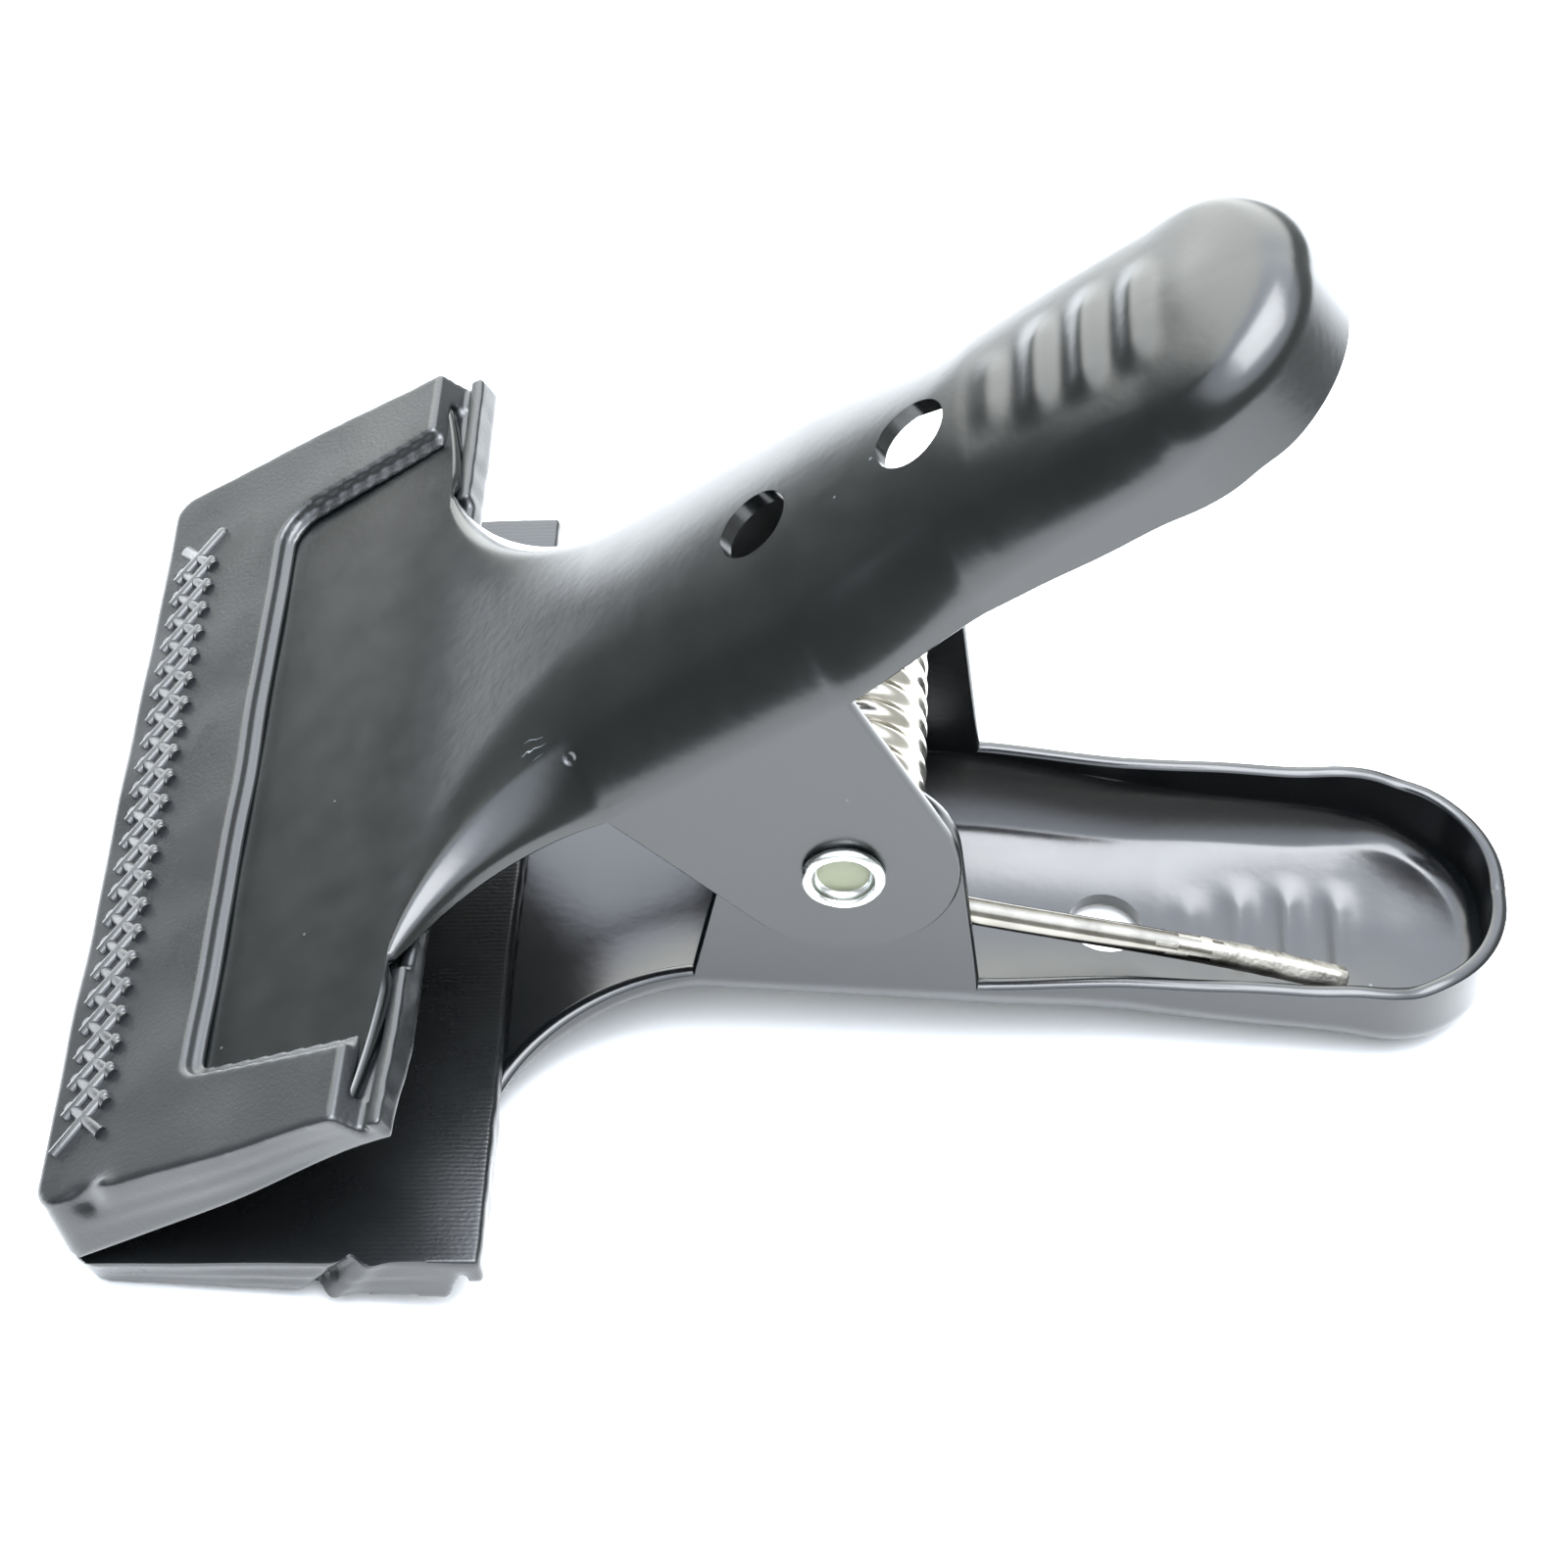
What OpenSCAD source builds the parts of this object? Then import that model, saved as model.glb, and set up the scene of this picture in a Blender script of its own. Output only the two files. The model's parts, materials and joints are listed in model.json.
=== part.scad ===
// Spring clamp with broad rubber jaws: two pressed-steel levers, two moulded
// pads, a wound wire spring and one hollow rivet. It stands closed on its lower
// lever. Millimetres. +X runs from the jaws to the handles, +Y across the jaws,
// +Z up, with the origin under the middle of the whole clamp.
//
// A lever is drawn in its own frame, with the pivot at the origin and its handle
// level: x towards the handle's end, y across, z outwards from the pivot.

/* [Levers] */
// Thickness of the pressed sheet
sheet_t = 1.3; // [1:0.1:1.8]
// Pivot to the front edge of the jaw
jaw_reach = 60; // [50:1:75]
// Pivot to the round end of the handle
handle_reach = 57; // [47:1:75]
// Pivot to the back of the handle
handle_h = 24.3; // [20:0.1:30]
// Depth of the handle's channel
handle_depth = 8.8; // [7:0.1:11]
// Width across a handle
handle_w = 26.2; // [26.2:0.1:29]
// Radius of the two corners at a handle's end
handle_corner_r = 12; // [8:0.1:13]
// Angle between a handle and its gripping face
jaw_pitch = 5.9; // [3:0.1:8]
// Width across the ears of the lower lever
ears_w = 28.4; // [26.4:0.1:34.5]
// Half the length of an ear along the lever, where it leaves the channel
ear_half = 11.7; // [10:0.1:13]
// Radius of an ear's round end
ear_r = 9.2; // [7:0.1:9.6]
// Pivot to the bend where the flat jaw plate ends
neck_back = 27.8; // [24:0.1:34]
// How far the neck's hollow flanks spread, from the ears to that bend
neck_spread = 10.9; // [7:0.1:13]
// How far the back of the lever dips at that bend
neck_dip = 2.7; // [1:0.1:4]
// Pivot to the bend where the handle becomes level
bend_reach = 28; // [24:0.1:32]
// Pivot to the point where the ears' width has tapered to the handle's
taper_reach = 21; // [16:0.1:24]

/* [Handle holes] */
// Diameter of the two holes in each handle
hole_d = 6.5; // [4:0.1:8]
// Pivot to the first hole, along the handle
hole_reach = 7.8; // [6:0.1:8.5]
// Distance between the two holes
hole_pitch = 15.6; // [12:0.1:19]

/* [Pads] */
// Width across the jaws
jaw_w = 85; // [70:1:105]
// Thickness of a pad
pad_t = 5; // [4.2:0.1:6]
// Rubber under the jaw plate
grip_t = 2.2; // [1.6:0.1:2.6]
// Rubber in front of the jaw plate and beside it
pad_wall = 3; // [2:0.1:4]
// Distance from the pad's rear edge to the neck bend
pad_setback = 1; // [0.6:0.1:2]
// Front strip of the pad's frame
front_strip = 13.7; // [10:0.1:18]
// Side strips of the pad's frame
side_strip = 9; // [5:0.1:11]
// Gap between the closed pads
pad_gap = 0.3; // [0.2:0.1:1]

/* [Spring and rivet] */
// Diameter of the spring wire
wire_d = 2.3; // [1.8:0.1:2.8]
// Outer diameter of the wound spring
coil_d = 13; // [11.5:0.1:15]
// Gap between turns
turn_gap = 0.12; // [0.05:0.01:0.4]
// Least gap between the wound spring and each inner ear
coil_end_gap = 0.3; // [0.2:0.1:2]
// Pivot to the end of a spring leg, along the handle
leg_reach = 43; // [36:0.5:46]
// Gap between the end of a spring leg and the back of the handle
leg_lift = 3; // [0.3:0.1:4]
// Gap between the end of a spring leg and the side wall of the handle
leg_gap = 1.6; // [0.4:0.1:3]
// Diameter of the rivet's shank
rivet_d = 5.2; // [4.4:0.1:6.3]
// Diameter of the rivet's rolled rim
rim_d = 6.8; // [6.4:0.1:8]
// Diameter of the rivet's made head
head_d = 8.6; // [7:0.1:10]
// Height of the rim and of the head
head_h = 0.9; // [0.6:0.1:1.4]
// Diameter of the hollow in the rivet's end
hollow_d = 3.8; // [2.6:0.1:3.8]
// Depth of that hollow
hollow_l = 5; // [3:0.1:8]

/* [Fits] */
// Radial clearance between the rivet and the ears
pin_clear = 0.05; // [0.02:0.01:0.09]
// Gap between the inner and outer ears, and between ears and rivet heads
ear_gap = 0.15; // [0.1:0.05:0.3]

/* [Hidden] */
$fn = 64;

CUT = 1;              // how far a cutting shape runs past what it cuts
WIRE_SIDES = 8;       // flat sides on the spring wire
TURN_STEPS = 20;      // steps in one turn of the spring

// The upper lever's ears lie outside the lower lever's
lower_hw = ears_w / 2;
upper_hw = lower_hw + ear_gap + sheet_t;
handle_hw = handle_w / 2;
rim_h = handle_h - handle_depth;
bend_h = handle_h - neck_dip;
floor_a = atan(neck_dip / (neck_back + bend_reach));

// Radius of a flank that leaves the ears in line and spreads by neck_spread
neck_r = (pow(neck_back - ear_half, 2) + pow(neck_spread, 2)) / (2 * neck_spread);

// The plate ends at the neck bend, which places the corner of the gripping face
plate_n = grip_t + sheet_t;
bend_s = (jaw_reach - neck_back - plate_n * sin(jaw_pitch)) / cos(jaw_pitch);
tip_h = bend_h + bend_s * sin(jaw_pitch) - plate_n * cos(jaw_pitch);
pad_l = bend_s - pad_setback;
plate_hw = jaw_w / 2 - pad_wall;

// Half the angle between the closed levers, then the tilt of the standing clamp
closed_a = atan2(tip_h, jaw_reach) - asin(pad_gap / 2 / norm([jaw_reach, tip_h]));

function turned(p, a) = [p.x * cos(a) - p.y * sin(a), p.x * sin(a) + p.y * cos(a)];
function on_jaw(s, n) = [-jaw_reach + s * cos(jaw_pitch) + n * sin(jaw_pitch),
                         tip_h - s * sin(jaw_pitch) + n * cos(jaw_pitch)];

outer_corners = [on_jaw(0, 0), on_jaw(0, pad_t), [handle_reach, rim_h],
                 [handle_reach, handle_h]];
corners = [for (p = outer_corners) turned(p, closed_a)];
tilt = atan2(corners[3].y - corners[1].y, corners[3].x - corners[1].x);
standing = [for (p = corners, side = [1, -1]) turned([p.x, side * p.y], tilt)];
x_mid = (min([for (p = standing) p.x]) + max([for (p = standing) p.x])) / 2;
z_low = min([for (p = standing) p.y]);

// Puts the clamp on its feet, from the frame whose origin is the pivot
module stand() {
    translate([-x_mid, 0, -z_low])
        rotate([0, -tilt, 0])
            children();
}

module as_upper() {
    stand()
        rotate([0, -closed_a, 0])
            children();
}

module as_lower() {
    stand()
        mirror([0, 0, 1])
            rotate([0, -closed_a, 0])
                children();
}

// Draws in the jaw's frame: x back from the front edge, z out of the gripping face
module in_jaw() {
    translate([-jaw_reach, 0, tip_h])
        rotate([0, jaw_pitch, 0])
            children();
}

// Extrudes a side outline across the whole lever
module across(w) {
    rotate([90, 0, 0])
        linear_extrude(w, center = true)
            children();
}

// Side of the pressed sheet, filled down to the rim
module side_outline() {
    polygon([on_jaw(pad_wall, plate_n), [-neck_back, bend_h], [bend_reach, handle_h],
             [handle_reach, handle_h], [handle_reach, rim_h], [-ear_half, rim_h],
             on_jaw(bend_s, grip_t), on_jaw(pad_wall, grip_t)]);
}

// Space under the sheet
module side_hollow() {
    front = on_jaw(bend_s - front_strip, grip_t);
    polygon([front, on_jaw(bend_s, grip_t), [bend_reach, handle_h - sheet_t],
             [handle_reach, handle_h - sheet_t], [handle_reach, 0], [front.x, 0]]);
}

// Half the width of the neck where it leaves the plate
function neck_hw(hw, inset) =
    hw + neck_r - sqrt(pow(neck_r + inset, 2) - pow(neck_back - ear_half, 2));

// Plan of the neck, ears and handle, with every wall moved in by inset
module channel_plan(hw, inset) {
    corner_x = handle_reach - handle_corner_r;
    difference() {
        translate([-neck_back, -neck_hw(hw, inset)])
            square([neck_back - ear_half + CUT, 2 * neck_hw(hw, inset)]);
        for (side = [-1, 1])
            translate([-ear_half, side * (hw + neck_r)])
                circle(neck_r + inset);
    }
    polygon([for (side = [1, -1], i = [0:3])
             let (j = side > 0 ? i : 3 - i)
             [[-ear_half, ear_half, taper_reach, corner_x][j],
              side * ([hw, hw, handle_hw, handle_hw][j] - inset)]]);
    for (side = [-1, 1])
        translate([corner_x, side * (handle_hw - handle_corner_r)])
            circle(handle_corner_r - inset);
    translate([corner_x - CUT, handle_corner_r - handle_hw])
        square([handle_corner_r + CUT - inset, handle_w - 2 * handle_corner_r]);
}

// Plan of the flat plate inside the pad, with its rear corners cut back
module plate_plan(hw) {
    front_x = on_jaw(pad_wall, grip_t).x;
    rear_x = on_jaw(pad_l - CUT, grip_t).x;
    polygon([[front_x, -plate_hw], [rear_x, -plate_hw], [-neck_back, -neck_hw(hw, 0)],
             [-neck_back, neck_hw(hw, 0)], [rear_x, plate_hw], [front_x, plate_hw]]);
}

// An ear hangs from the channel's wall and ends in an arc about the pivot
module ear_outline() {
    root = rim_h + sheet_t;
    reach = norm([ear_half, rim_h]);
    a = atan2(rim_h, ear_half) - acos(ear_r / reach);
    circle(ear_r);
    polygon([[ear_half, root], [ear_half, rim_h], [ear_r * cos(a), ear_r * sin(a)], [0, 0],
             [-ear_r * cos(a), ear_r * sin(a)], [-ear_half, rim_h], [-ear_half, root]]);
}

// A whole lever, whose ears are 2 * hw apart on the outside
module lever(hw) {
    difference() {
        union() {
            difference() {
                intersection() {
                    across(jaw_w)
                        side_outline();
                    linear_extrude(2 * handle_h) {
                        channel_plan(hw, 0);
                        plate_plan(hw);
                    }
                }
                intersection() {
                    across(jaw_w)
                        side_hollow();
                    linear_extrude(2 * handle_h)
                        channel_plan(hw, sheet_t);
                }
            }
            for (y = [-hw + sheet_t, hw])
                translate([0, y, 0])
                    rotate([90, 0, 0])
                        linear_extrude(sheet_t)
                            ear_outline();
        }
        rotate([90, 0, 0])
            cylinder(h = jaw_w, d = rivet_d + 2 * pin_clear, center = true);
        for (i = [0, 1])
            translate([-neck_back, 0, bend_h])
                rotate([0, -floor_a, 0])
                    translate([neck_back + hole_reach + i * hole_pitch, 0, 0])
                        cylinder(h = 4 * sheet_t, d = hole_d, center = true);
    }
}

// A pad is a sleeve for the plate, with a window in its outer side
module jaw_pad() {
    window_w = jaw_w - 2 * side_strip;
    in_jaw()
        difference() {
            translate([0, -jaw_w / 2, 0])
                cube([pad_l, jaw_w, pad_t]);
            translate([pad_wall, -plate_hw, grip_t])
                cube([pad_l, 2 * plate_hw, sheet_t]);
            translate([front_strip, -window_w / 2, grip_t])
                cube([pad_l, window_w, pad_t]);
        }
}

// The wire's route: lower leg, close turns about the pivot, upper leg
coil_r = (coil_d - wire_d) / 2;
leg_end = turned([leg_reach, handle_h - sheet_t - leg_lift - wire_d / 2], closed_a);
leave_a = atan2(leg_end.y, leg_end.x) + acos(coil_r / norm(leg_end));
part_turn = 1 - leave_a / 180;
coil_pitch = wire_d + turn_gap;
coil_room = ears_w - 2 * sheet_t - 2 * coil_end_gap - wire_d;
sweep_a = 360 * (floor(coil_room / coil_pitch - part_turn) + part_turn);
coil_hw = coil_pitch * sweep_a / 360 / 2;
leg_y = handle_hw - sheet_t - leg_gap - wire_d / 2;
steps = floor(sweep_a / 360 * TURN_STEPS);
route = concat(
    [[leg_end.x, -leg_y, -leg_end.y]],
    [for (i = [0:steps])
        let (a = -leave_a - sweep_a * i / steps)
        [coil_r * cos(a), coil_hw * (2 * i / steps - 1), coil_r * sin(a)]],
    [[leg_end.x, leg_y, leg_end.y]]);

function unit(v) = v / norm(v);
last = len(route) - 1;
function along(i) = unit(route[min(i + 1, last)] - route[max(i - 1, 0)]);
function ring(i) =
    let (u = unit(cross(along(i), [0, 1, 0])), v = cross(along(i), u))
    [for (k = [0:WIRE_SIDES - 1])
        let (a = 360 * k / WIRE_SIDES)
        route[i] + wire_d / 2 * (u * cos(a) + v * sin(a))];

module wire() {
    side = [for (i = [0:last - 1], k = [0:WIRE_SIDES - 1])
            let (n = (k + 1) % WIRE_SIDES, p = i * WIRE_SIDES)
            [p + k, p + n, p + WIRE_SIDES + n, p + WIRE_SIDES + k]];
    start = [for (k = [0:WIRE_SIDES - 1]) WIRE_SIDES - 1 - k];
    end = [for (k = [0:WIRE_SIDES - 1]) last * WIRE_SIDES + k];
    polyhedron([for (i = [0:last], p = ring(i)) p], concat([start], side, [end]));
}

// Half outline of the rivet, from the hollow's end to the made head
module rivet_outline() {
    half_l = upper_hw + ear_gap;
    polygon([[0, hollow_l - half_l], [hollow_d / 2, hollow_l - half_l],
             [hollow_d / 2, -half_l - head_h / 2], [hollow_d / 2 + head_h / 2, -half_l - head_h],
             [rim_d / 2 - head_h / 2, -half_l - head_h], [rim_d / 2, -half_l - head_h / 2],
             [rim_d / 2, -half_l], [rivet_d / 2, -half_l], [rivet_d / 2, half_l],
             [head_d / 2, half_l], [head_d / 2, half_l + head_h / 3],
             [head_d / 4, half_l + head_h], [0, half_l + head_h]]);
}

module upper_lever() {
    color([0.06, 0.065, 0.07])
        as_upper()
            lever(upper_hw);
}

module lower_lever() {
    color([0.09, 0.095, 0.1])
        as_lower()
            lever(lower_hw);
}

module upper_jaw_pad() {
    color([0.17, 0.18, 0.18])
        as_upper()
            jaw_pad();
}

module lower_jaw_pad() {
    color([0.14, 0.15, 0.15])
        as_lower()
            jaw_pad();
}

module torsion_spring() {
    color([0.78, 0.77, 0.72])
        stand()
            wire();
}

module pivot_rivet() {
    color([0.85, 0.86, 0.83])
        stand()
            rotate([-90, 0, 0])
                rotate_extrude()
                    rivet_outline();
}

upper_lever();
lower_lever();
upper_jaw_pad();
lower_jaw_pad();
torsion_spring();
pivot_rivet();
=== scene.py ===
# %% [markdown]
# # A spring clamp with broad rubber jaws
# Two levers pressed from black-painted sheet steel turn on one hollow rivet. A wound
# wire spring pushes their handles apart, so two moulded rubber pads meet at the front.
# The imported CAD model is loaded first. It fixes every place, size and joint, and each
# piece below stands in for one of its solids, with the finish of the real one.

# %% Load the frame
import json
import math

import bmesh
import bpy
import numpy as np
from mathutils import Matrix, Vector


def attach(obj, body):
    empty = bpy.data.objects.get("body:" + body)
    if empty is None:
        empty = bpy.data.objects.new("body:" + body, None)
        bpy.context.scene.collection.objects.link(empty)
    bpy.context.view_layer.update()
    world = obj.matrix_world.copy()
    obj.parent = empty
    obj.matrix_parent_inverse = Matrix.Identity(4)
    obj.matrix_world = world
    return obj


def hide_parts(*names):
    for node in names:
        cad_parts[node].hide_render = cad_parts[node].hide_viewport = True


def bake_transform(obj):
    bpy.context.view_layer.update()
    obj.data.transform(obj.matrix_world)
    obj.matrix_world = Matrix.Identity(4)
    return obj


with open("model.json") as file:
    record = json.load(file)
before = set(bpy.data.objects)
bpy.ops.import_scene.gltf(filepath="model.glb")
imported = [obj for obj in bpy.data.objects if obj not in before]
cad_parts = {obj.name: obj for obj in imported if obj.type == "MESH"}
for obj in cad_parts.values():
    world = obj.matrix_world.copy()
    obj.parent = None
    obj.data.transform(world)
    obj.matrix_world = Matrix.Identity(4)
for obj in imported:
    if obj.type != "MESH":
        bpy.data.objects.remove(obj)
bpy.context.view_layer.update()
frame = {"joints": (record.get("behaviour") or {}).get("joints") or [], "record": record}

MM = 0.001

# %% [markdown]
# ## Where a lever lies
# Both levers come from one press tool, so both are drawn in one lever frame: x runs
# along the handle from the pivot, y across, z outwards. The two holes in each handle are
# in the record, and the line through them gives the angle at which that lever lies.

# %% Lever sizes, in millimetres
JAW_REACH = 60.0
HANDLE_REACH = 57.0
HANDLE_H = 24.3
RIM_H = 15.5
HANDLE_HW = 13.1
CORNER_R = 12.0
JAW_PITCH = math.radians(5.9)
EAR_HALF = 11.7
EAR_R = 9.2
NECK_BACK = 27.8
NECK_SPREAD = 10.9
NECK_DIP = 2.7
BEND_REACH = 28.0
TAPER_REACH = 24.5
SHEET = 1.3
LOWER_HW = 14.2
UPPER_HW = 15.65
PLATE_HW = 39.5
PLATE_FRONT, PLATE_REAR = 3.0, 30.0
BEND_H = HANDLE_H - NECK_DIP
FLOOR_SLOPE = math.atan(NECK_DIP / (NECK_BACK + BEND_REACH))
NECK_R = ((NECK_BACK - EAR_HALF) ** 2 + NECK_SPREAD ** 2) / (2 * NECK_SPREAD)
GRIP_T = 2.2
PLATE_TOP = GRIP_T + SHEET
BEND_S = (JAW_REACH - NECK_BACK - PLATE_TOP * math.sin(JAW_PITCH)) / math.cos(JAW_PITCH)
TIP_H = BEND_H + BEND_S * math.sin(JAW_PITCH) - PLATE_TOP * math.cos(JAW_PITCH)

# %% From the lever frame to the clamp's
PIVOT = np.array(frame["joints"][0]["pos_m"]) / MM
mounts = {m["name"]: m for m in frame["record"]["mounts"]}


def hole_angle(side):
    front, rear = (np.array(mounts[f"{side}_handle_{end}_hole"]["pos_m"])
                   for end in ("front", "rear"))
    return math.atan2(rear[2] - front[2], rear[0] - front[0])


UPPER_ANGLE = hole_angle("upper") - FLOOR_SLOPE
LOWER_ANGLE = hole_angle("lower") + FLOOR_SLOPE
TILT = (UPPER_ANGLE + LOWER_ANGLE) / 2
print("levers lie at", round(math.degrees(UPPER_ANGLE), 2), round(math.degrees(LOWER_ANGLE), 2))


def place(points, side):
    """Lever frame in millimetres to the clamp's frame in metres."""
    x, y, z = np.asarray(points, float).T
    angle = UPPER_ANGLE if side == "upper" else LOWER_ANGLE
    z = z if side == "upper" else -z
    c, s = math.cos(angle), math.sin(angle)
    return np.column_stack([PIVOT[0] + x * c - z * s, y, PIVOT[2] + x * s + z * c]) * MM


def jaw_to_lever(points):
    """Jaw frame (back from the front edge, across, out of the gripping face) to lever."""
    s, y, n = np.asarray(points, float).T
    c, p = math.cos(JAW_PITCH), math.sin(JAW_PITCH)
    return np.column_stack([-JAW_REACH + s * c + n * p, y, TIP_H - s * p + n * c])


# %% [markdown]
# ## Small helpers
# A mesh is made from arrays of points and faces. A smooth step is used wherever one
# shape eases into the next, as pressed sheet and moulded rubber always do. Edges sharper
# than a given angle stay crisp, and everything else is shaded smooth.

# %% Mesh helpers
def smooth(lo, hi, x):
    t = np.clip((np.asarray(x, float) - lo) / (hi - lo), 0, 1)
    return t * t * (3 - 2 * t)


def mesh_object(name, points, faces):
    mesh = bpy.data.meshes.new(name)
    mesh.from_pydata([tuple(p) for p in points], [], faces)
    mesh.validate()
    obj = bpy.data.objects.new(name, mesh)
    bpy.context.scene.collection.objects.link(obj)
    return obj


def points_of(obj):
    co = np.zeros(len(obj.data.vertices) * 3)
    obj.data.vertices.foreach_get("co", co)
    return co.reshape(-1, 3)


def move_points(obj, points):
    obj.data.vertices.foreach_set("co", np.asarray(points, float).ravel())
    obj.data.update()


def apply_modifiers(obj):
    evaluated = obj.evaluated_get(bpy.context.evaluated_depsgraph_get())
    mesh = bpy.data.meshes.new_from_object(evaluated)
    obj.modifiers.clear()
    obj.data = mesh
    return obj


def clean(obj, distance):
    bm = bmesh.new()
    bm.from_mesh(obj.data)
    bmesh.ops.remove_doubles(bm, verts=bm.verts, dist=distance)
    bmesh.ops.recalc_face_normals(bm, faces=bm.faces)
    bm.to_mesh(obj.data)
    bm.free()
    return obj


def run_along(path):
    """Distance run at each point of a path in a plane."""
    return np.r_[0, np.cumsum(np.hypot(*np.diff(path, axis=0).T))]


def tube_faces(first, rings, around):
    """Quads between rings of points that follow each other from point number first."""
    faces = []
    for i in range(rings - 1):
        p = first + i * around
        for k in range(around):
            m = (k + 1) % around
            faces.append((p + k, p + m, p + around + m, p + around + k))
    return faces


def shade_smooth(obj, sharp_degrees):
    obj.data.set_sharp_from_angle(angle=math.radians(sharp_degrees))
    for face in obj.data.polygons:
        face.use_smooth = True
    return obj


# %% [markdown]
# ## Camera, floor and light
# The clamp is seen from in front and well above, on a white table that is lit so strongly
# that it burns out. Black gloss has hardly any colour of its own, so what you see in it is
# its surroundings. Lamps alone would give it a few hard glints. A light tent gives the
# long soft bands that real black gloss shows, so the world is drawn as one, and a single
# softbox over the table lights the floor and gives the clamp its faint shadow.

# %% Camera
SENSOR_MM = 36.0
LENS_MM = 88.6
AIM = Vector((-0.00203, 0.0, 0.01975))
FORWARD = Vector((-0.012724, 0.677752, -0.735180)).normalized()
CAMERA_UP = Vector((-0.038763, 0.734353, 0.677660))
DISTANCE = 0.322665
camera_data = bpy.data.cameras.new("camera")
camera_data.sensor_width = SENSOR_MM
camera_data.lens = LENS_MM
camera = bpy.data.objects.new("camera", camera_data)
bpy.context.scene.collection.objects.link(camera)
right = FORWARD.cross(CAMERA_UP).normalized()
up = right.cross(FORWARD)
turn = Matrix((right, up, -FORWARD)).transposed().to_4x4()
camera.matrix_world = Matrix.Translation(AIM - FORWARD * DISTANCE) @ turn
bpy.context.scene.camera = camera
bpy.context.scene.view_settings.view_transform = "Standard"
print("camera at", [round(v, 4) for v in camera.matrix_world.translation])


# %% Colours and nodes
def linear(hex_colour):
    """An sRGB hex colour as linear RGBA."""
    channels = [int(hex_colour[i:i + 2], 16) / 255 for i in (1, 3, 5)]
    return [c / 12.92 if c <= 0.04045 else ((c + 0.055) / 1.055) ** 2.4
            for c in channels] + [1.0]


def add(tree, kind, settings=None, **links):
    """Adds a node. A link is a socket, or a plain value for the input of that name."""
    node = tree.nodes.new(kind)
    for key, value in (settings or {}).items():
        setattr(node, key, value)
    for key, value in links.items():
        name = key.replace("_", " ")
        socket = node.inputs[int(key[1:])] if key[1:].isdigit() else node.inputs[name]
        if isinstance(value, bpy.types.NodeSocket):
            tree.links.new(value, socket)
        else:
            socket.default_value = value
    return node


def new_material(name, **values):
    material = bpy.data.materials.new(name)
    material.use_nodes = True
    shader = material.node_tree.nodes["Principled BSDF"]
    for key, value in values.items():
        shader.inputs[key.replace("_", " ")].default_value = value
    return material, material.node_tree, shader


# %% Floor
FLOOR_R = 2.5
laminate, tree, shader = new_material("white_table_laminate", Roughness=0.6)
cloudy = add(tree, "ShaderNodeTexNoise", Scale=2.0, Detail=2.0)
white = add(tree, "ShaderNodeMix", {"data_type": "RGBA"}, i0=cloudy.outputs["Fac"],
            i6=linear("#f2f2f0"), i7=linear("#f8f8f6"))
tree.links.new(white.outputs[2], shader.inputs["Base Color"])
floor = mesh_object("floor", [(-FLOOR_R, -FLOOR_R, 0), (FLOOR_R, -FLOOR_R, 0),
                              (FLOOR_R, FLOOR_R, 0), (-FLOOR_R, FLOOR_R, 0)], [(0, 1, 2, 3)])
floor.data.materials.append(laminate)
print("floor", 2 * FLOOR_R, "m square")

# %% Light tent
# Brightest overhead, white behind the clamp, and dim to the sides and the front, which is
# what draws the dark bands in the paint. Each pair is where a part of the tent fades in:
# heights are sines of the angle above the table, and the back wall's are radians from its
# middle. That wall is turned to the left by BACK_TURN and narrows as it rises.
TENT_WHITE = 4.1
TENT_OVERHEAD = 6.0
OVERHEAD_FROM = 0.80
CEILING = (0.50, 0.74)
BACK_TURN = 0.28
BACK_FADE = (0.33, 0.06)
BACK_BRIGHT = 1.35
BACK_NARROWS = 1.1
SIDE_FADE = (-0.7, -0.1)
SIDE_GLOW = (0.35, 0.8)
world = bpy.data.worlds.new("light_tent")
world.use_nodes = True
tent = world.node_tree
soft_step = {"interpolation_type": "SMOOTHSTEP"}
way = add(tent, "ShaderNodeSeparateXYZ",
          Vector=add(tent, "ShaderNodeTexCoord").outputs["Generated"])
side_way, far_way, up_way = way.outputs["X"], way.outputs["Y"], way.outputs["Z"]


def sum_up(operation, *values):
    """A Math node on plain values and sockets, and the socket of its result."""
    inputs = {f"i{i}": value for i, value in enumerate(values)}
    return add(tent, "ShaderNodeMath", {"operation": operation}, **inputs).outputs[0]


def fade(settings, value, span, low=0.0, high=1.0):
    """Runs from low to high as the value runs over the span, and holds beyond it."""
    return add(tent, "ShaderNodeMapRange", settings, Value=value, From_Min=span[0],
               From_Max=span[1], To_Min=low, To_Max=high).outputs[0]


from_back = sum_up("ABSOLUTE", sum_up("ADD", sum_up("ARCTAN2", side_way, far_way), BACK_TURN))
narrowed = sum_up("MULTIPLY_ADD", sum_up("MAXIMUM", up_way, 0.0), -BACK_NARROWS, from_back)
behind = fade(soft_step, narrowed, BACK_FADE, 0.0, BACK_BRIGHT)
ceiling = fade(soft_step, up_way, CEILING)
overhead = fade(soft_step, up_way, (OVERHEAD_FROM, 1.0), 0.0, TENT_OVERHEAD)
sides = fade(soft_step, side_way, SIDE_FADE, *SIDE_GLOW)
glow = sum_up("MULTIPLY_ADD", sum_up("MAXIMUM", ceiling, behind), TENT_WHITE, sides)
tint = add(tent, "ShaderNodeMix", {"data_type": "RGBA"}, i0=ceiling,
           i6=linear("#fafdfb"), i7=linear("#eaf2ff"))
tent.links.new(tint.outputs[2], tent.nodes["Background"].inputs["Color"])
tent.links.new(sum_up("ADD", glow, overhead), tent.nodes["Background"].inputs["Strength"])
bpy.context.scene.world = world
print("tent: walls", TENT_WHITE, "overhead", TENT_OVERHEAD)

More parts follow.
